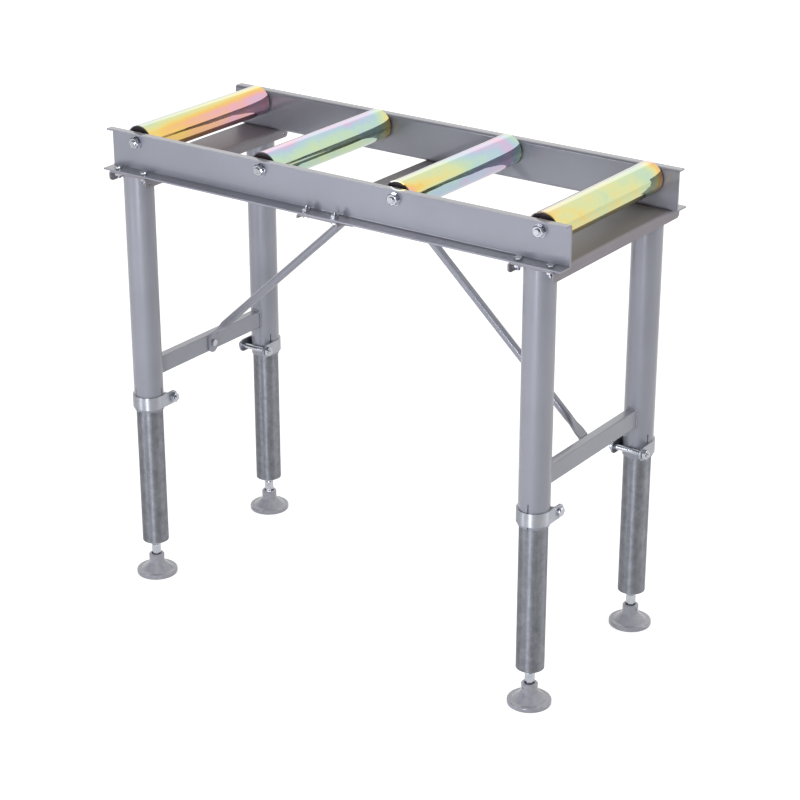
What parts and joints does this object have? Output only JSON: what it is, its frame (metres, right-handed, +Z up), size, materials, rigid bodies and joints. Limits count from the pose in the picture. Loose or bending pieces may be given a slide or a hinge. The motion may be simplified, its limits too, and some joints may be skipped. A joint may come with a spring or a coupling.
{
  "type": "roller stand",
  "caption": "Free-standing steel roller stand: channel rails with free rollers between them, telescopic legs with clamp straps, diagonal braces and levelling screw feet.",
  "frame": {"origin": "on the floor, at the centre of the stand's base", "axes": "+Z up, +X along the rails, Y across the rails with the front rail on -Y"},
  "size_m": [1, 0.444, 0.925],
  "materials": {
    "frame_paint": "smooth semi-gloss blue-grey paint",
    "foot_paint": "glossy grey paint on a casting",
    "bare_steel": "drawn bare steel with faint rub marks",
    "clear_zinc": "bright blue-white zinc plating",
    "yellow_zinc": "bright yellow passivated zinc with iridescent tints",
    "cap_plastic": "dark moulded plastic"
  },
  "bodies": {
    "frame": {"front_rail": "frame_paint", "rear_rail": "frame_paint", "left_cross_member": "frame_paint", "centre_cross_member": "frame_paint", "right_cross_member": "frame_paint", "left_crossbar": "frame_paint", "right_crossbar": "frame_paint", "left_brace": "frame_paint", "right_brace": "frame_paint", "rail_bolts": "clear_zinc", "rail_nuts": "clear_zinc", "brace_bolts": "clear_zinc", "brace_nuts": "clear_zinc", "clamp_bolts": "clear_zinc", "clamp_nuts": "clear_zinc", "axle_nuts": "clear_zinc", "axle_washers": "clear_zinc", "axle_spacers": "clear_zinc", "bearing_inner_rings": "bare_steel", "roller_axle_1": "bare_steel", "roller_axle_2": "bare_steel", "roller_axle_3": "bare_steel", "roller_axle_4": "bare_steel", "front_left_outer_leg": "frame_paint", "front_right_outer_leg": "frame_paint", "rear_left_outer_leg": "frame_paint", "rear_right_outer_leg": "frame_paint", "front_left_clamp_strap": "clear_zinc", "front_right_clamp_strap": "clear_zinc", "rear_left_clamp_strap": "clear_zinc", "rear_right_clamp_strap": "clear_zinc"},
    "roller_1": {"roller_1_tube": "yellow_zinc", "roller_1_end_caps": "cap_plastic", "roller_1_bearings": "bare_steel"},
    "roller_2": {"roller_2_tube": "yellow_zinc", "roller_2_end_caps": "cap_plastic", "roller_2_bearings": "bare_steel"},
    "roller_3": {"roller_3_tube": "yellow_zinc", "roller_3_end_caps": "cap_plastic", "roller_3_bearings": "bare_steel"},
    "roller_4": {"roller_4_tube": "yellow_zinc", "roller_4_end_caps": "cap_plastic", "roller_4_bearings": "bare_steel"},
    "front_left_leg_slide": {"front_left_inner_leg": "bare_steel", "front_left_leg_end_nuts": "clear_zinc"},
    "front_left_foot": {"front_left_foot_pad": "foot_paint"},
    "front_left_screw": {"front_left_foot_spindle": "clear_zinc"},
    "front_right_leg_slide": {"front_right_inner_leg": "bare_steel", "front_right_leg_end_nuts": "clear_zinc"},
    "front_right_foot": {"front_right_foot_pad": "foot_paint"},
    "front_right_screw": {"front_right_foot_spindle": "clear_zinc"},
    "rear_left_leg_slide": {"rear_left_inner_leg": "bare_steel", "rear_left_leg_end_nuts": "clear_zinc"},
    "rear_left_foot": {"rear_left_foot_pad": "foot_paint"},
    "rear_left_screw": {"rear_left_foot_spindle": "clear_zinc"},
    "rear_right_leg_slide": {"rear_right_inner_leg": "bare_steel", "rear_right_leg_end_nuts": "clear_zinc"},
    "rear_right_foot": {"rear_right_foot_pad": "foot_paint"},
    "rear_right_screw": {"rear_right_foot_spindle": "clear_zinc"}
  },
  "joints": [
    {"name": "roller_1_spin", "type": "hinge", "parent": "frame", "child": "roller_1", "pos_m": [-0.441, 0, 0.895], "axis": [0, 1, 0], "continuous": true},
    {"name": "roller_2_spin", "type": "hinge", "parent": "frame", "child": "roller_2", "pos_m": [-0.147, 0, 0.895], "axis": [0, 1, 0], "continuous": true},
    {"name": "roller_3_spin", "type": "hinge", "parent": "frame", "child": "roller_3", "pos_m": [0.147, 0, 0.895], "axis": [0, 1, 0], "continuous": true},
    {"name": "roller_4_spin", "type": "hinge", "parent": "frame", "child": "roller_4", "pos_m": [0.441, 0, 0.895], "axis": [0, 1, 0], "continuous": true},
    {"name": "front_left_leg_extension", "type": "slide", "parent": "frame", "child": "front_left_leg_slide", "axis": [0, 0, -1], "range_m": [-0.265, 0.025]},
    {"name": "front_left_foot_travel", "type": "slide", "parent": "front_left_leg_slide", "child": "front_left_foot", "axis": [0, 0, -1], "range_m": [0, 0.0245]},
    {"name": "front_left_screw_turn", "type": "hinge", "parent": "front_left_foot", "child": "front_left_screw", "pos_m": [-0.442, -0.1815, 0.022], "axis": [0, 0, -1], "range_deg": [0, 5040]},
    {"name": "front_right_leg_extension", "type": "slide", "parent": "frame", "child": "front_right_leg_slide", "axis": [0, 0, -1], "range_m": [-0.265, 0.025]},
    {"name": "front_right_foot_travel", "type": "slide", "parent": "front_right_leg_slide", "child": "front_right_foot", "axis": [0, 0, -1], "range_m": [0, 0.0245]},
    {"name": "front_right_screw_turn", "type": "hinge", "parent": "front_right_foot", "child": "front_right_screw", "pos_m": [0.442, -0.1815, 0.022], "axis": [0, 0, -1], "range_deg": [0, 5040]},
    {"name": "rear_left_leg_extension", "type": "slide", "parent": "frame", "child": "rear_left_leg_slide", "axis": [0, 0, -1], "range_m": [-0.265, 0.025]},
    {"name": "rear_left_foot_travel", "type": "slide", "parent": "rear_left_leg_slide", "child": "rear_left_foot", "axis": [0, 0, -1], "range_m": [0, 0.0245]},
    {"name": "rear_left_screw_turn", "type": "hinge", "parent": "rear_left_foot", "child": "rear_left_screw", "pos_m": [-0.442, 0.1815, 0.022], "axis": [0, 0, -1], "range_deg": [0, 5040]},
    {"name": "rear_right_leg_extension", "type": "slide", "parent": "frame", "child": "rear_right_leg_slide", "axis": [0, 0, -1], "range_m": [-0.265, 0.025]},
    {"name": "rear_right_foot_travel", "type": "slide", "parent": "rear_right_leg_slide", "child": "rear_right_foot", "axis": [0, 0, -1], "range_m": [0, 0.0245]},
    {"name": "rear_right_screw_turn", "type": "hinge", "parent": "rear_right_foot", "child": "rear_right_screw", "pos_m": [0.442, 0.1815, 0.022], "axis": [0, 0, -1], "range_deg": [0, 5040]}
  ],
  "couplings": [
    {"joint": "front_left_screw_turn", "follows": "front_left_foot_travel", "rad_per_m": 3590.4},
    {"joint": "front_right_screw_turn", "follows": "front_right_foot_travel", "rad_per_m": 3590.4},
    {"joint": "rear_left_screw_turn", "follows": "rear_left_foot_travel", "rad_per_m": 3590.4},
    {"joint": "rear_right_screw_turn", "follows": "rear_right_foot_travel", "rad_per_m": 3590.4}
  ]
}
